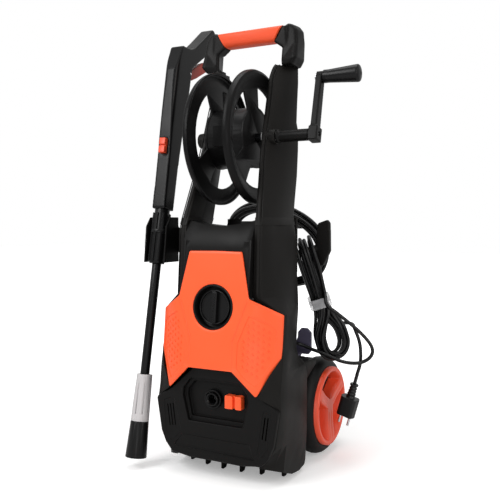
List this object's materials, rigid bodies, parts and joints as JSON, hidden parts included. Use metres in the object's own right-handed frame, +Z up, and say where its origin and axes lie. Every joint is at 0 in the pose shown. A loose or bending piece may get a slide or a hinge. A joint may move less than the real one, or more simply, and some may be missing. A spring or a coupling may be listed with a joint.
{
  "type": "electric pressure washer",
  "caption": "Upright electric pressure washer on wheels with a hose reel and crank, a lance in a side clip and a coiled power cord.",
  "frame": {"origin": "on the floor, under the middle of the machine's bounding box without its free cords", "axes": "+X to the machine's right as seen by someone who faces its orange panel, +Y from the panel towards the wheels, +Z up"},
  "size_m": [0.4285, 0.375, 0.8944],
  "materials": {
    "body_black": "satin moulded plastic with a fine grain",
    "trim_black": "satin moulded plastic",
    "panel_orange": "satin orange plastic",
    "grip_orange": "soft textured orange rubber",
    "cap_orange": "satin red-orange plastic",
    "tyre": "matt black",
    "steel": "brushed",
    "grey_plastic": "matt light grey plastic",
    "hook_grey": "satin purple-grey plastic",
    "trigger_red": "satin dark red plastic",
    "brass": "turned",
    "alloy": "cast",
    "cord": "satin black cord jacket",
    "hose": "satin black hose jacket",
    "clear_tie": "clear plastic film"
  },
  "bodies": {
    "body": {"base_tub": "body_black", "front_feet": "trim_black", "front_frame": "trim_black", "front_housing": "trim_black", "front_panel": "panel_orange", "side_shell_left": "body_black", "side_shell_right": "body_black", "rear_cover": "body_black", "column_left": "body_black", "column_right": "body_black", "handle_frame": "trim_black", "handle_grip": "grip_orange", "axle": "steel", "reel_bushes": "grey_plastic", "switch_body": "grey_plastic", "outlet_socket": "trim_black", "water_inlet": "brass", "motor": "alloy", "pump_head": "alloy", "pump_manifold": "brass", "capacitor": "grey_plastic", "lance_clip": "trim_black", "cable_hook_upper": "body_black", "cable_hook_lower": "hook_grey", "hose_hooks": "body_black", "cord_gland": "cord", "power_lead": "cord", "cord_hank": "cord", "cord_tie": "clear_tie", "plug_lead": "cord", "plug_body": "cord", "plug_pins": "steel", "hose_coil": "hose", "hose_fittings": "brass", "housing_screws": "steel"},
    "wheel_left": {"wheel_left": "tyre", "wheel_cap_left": "cap_orange"},
    "wheel_right": {"wheel_right": "tyre", "wheel_cap_right": "cap_orange"},
    "reel": {"reel_drum": "trim_black", "reel_flange_left": "body_black", "reel_flange_right": "body_black", "reel_shaft": "steel", "crank_arm": "body_black", "crank_screw": "steel", "crank_pin": "steel"},
    "crank_handle": {"crank_grip": "body_black"},
    "knob": {"switch_knob": "trim_black"},
    "latch": {"outlet_latch": "panel_orange"},
    "rotor": {"rotor_shaft": "steel", "cooling_fan": "grey_plastic", "swash_plate": "steel"},
    "lance": {"gun_shell": "body_black", "trigger_pin": "steel", "lance_adapter": "trim_black", "lance_tube": "trim_black"},
    "trigger": {"gun_trigger": "trigger_red"},
    "slider": {"gun_slider": "panel_orange"},
    "nozzle": {"nozzle_collar": "grey_plastic", "nozzle_tip": "trim_black"}
  },
  "joints": [
    {"name": "wheel_left_spin", "type": "hinge", "parent": "body", "child": "wheel_left", "pos_m": [-0.13375, 0.0895, 0.098], "axis": [1, 0, 0], "continuous": true},
    {"name": "wheel_right_spin", "type": "hinge", "parent": "body", "child": "wheel_right", "pos_m": [0.09225, 0.0895, 0.098], "axis": [1, 0, 0], "continuous": true},
    {"name": "reel_spin", "type": "hinge", "parent": "body", "child": "reel", "pos_m": [-0.02075, -0.0625, 0.63], "axis": [1, 0, 0], "continuous": true},
    {"name": "crank_grip_spin", "type": "hinge", "parent": "reel", "child": "crank_handle", "pos_m": [0.16925, -0.03589, 0.73673], "axis": [1, 0, 0], "continuous": true},
    {"name": "switch_turn", "type": "hinge", "parent": "body", "child": "knob", "pos_m": [-0.02075, -0.16093, 0.32], "axis": [0, -0.9946, 0.1037], "range_deg": [0, 90]},
    {"name": "latch_slide", "type": "slide", "parent": "body", "child": "latch", "axis": [1, 0, 0], "range_m": [0, 0.006]},
    {"name": "rotor_spin", "type": "hinge", "parent": "body", "child": "rotor", "pos_m": [-0.02075, -0.0705, 0.27], "axis": [0, 0, 1], "continuous": true},
    {"name": "lance_pull_out", "type": "slide", "parent": "body", "child": "lance", "axis": [0, -1, 0], "range_m": [0, 0.08]},
    {"name": "trigger_pull", "type": "hinge", "parent": "lance", "child": "trigger", "pos_m": [-0.1861, 0.01091, 0.78165], "axis": [1, 0, -0.0087], "range_deg": [0, 8]},
    {"name": "slider_slide", "type": "slide", "parent": "lance", "child": "slider", "axis": [-0.0086, -0.181, -0.9834], "range_m": [0, 0.006]},
    {"name": "nozzle_turn", "type": "hinge", "parent": "lance", "child": "nozzle", "pos_m": [-0.19189, -0.1417, 0.11834], "axis": [0.0086, 0.181, 0.9834], "range_deg": [0, 90]}
  ]
}
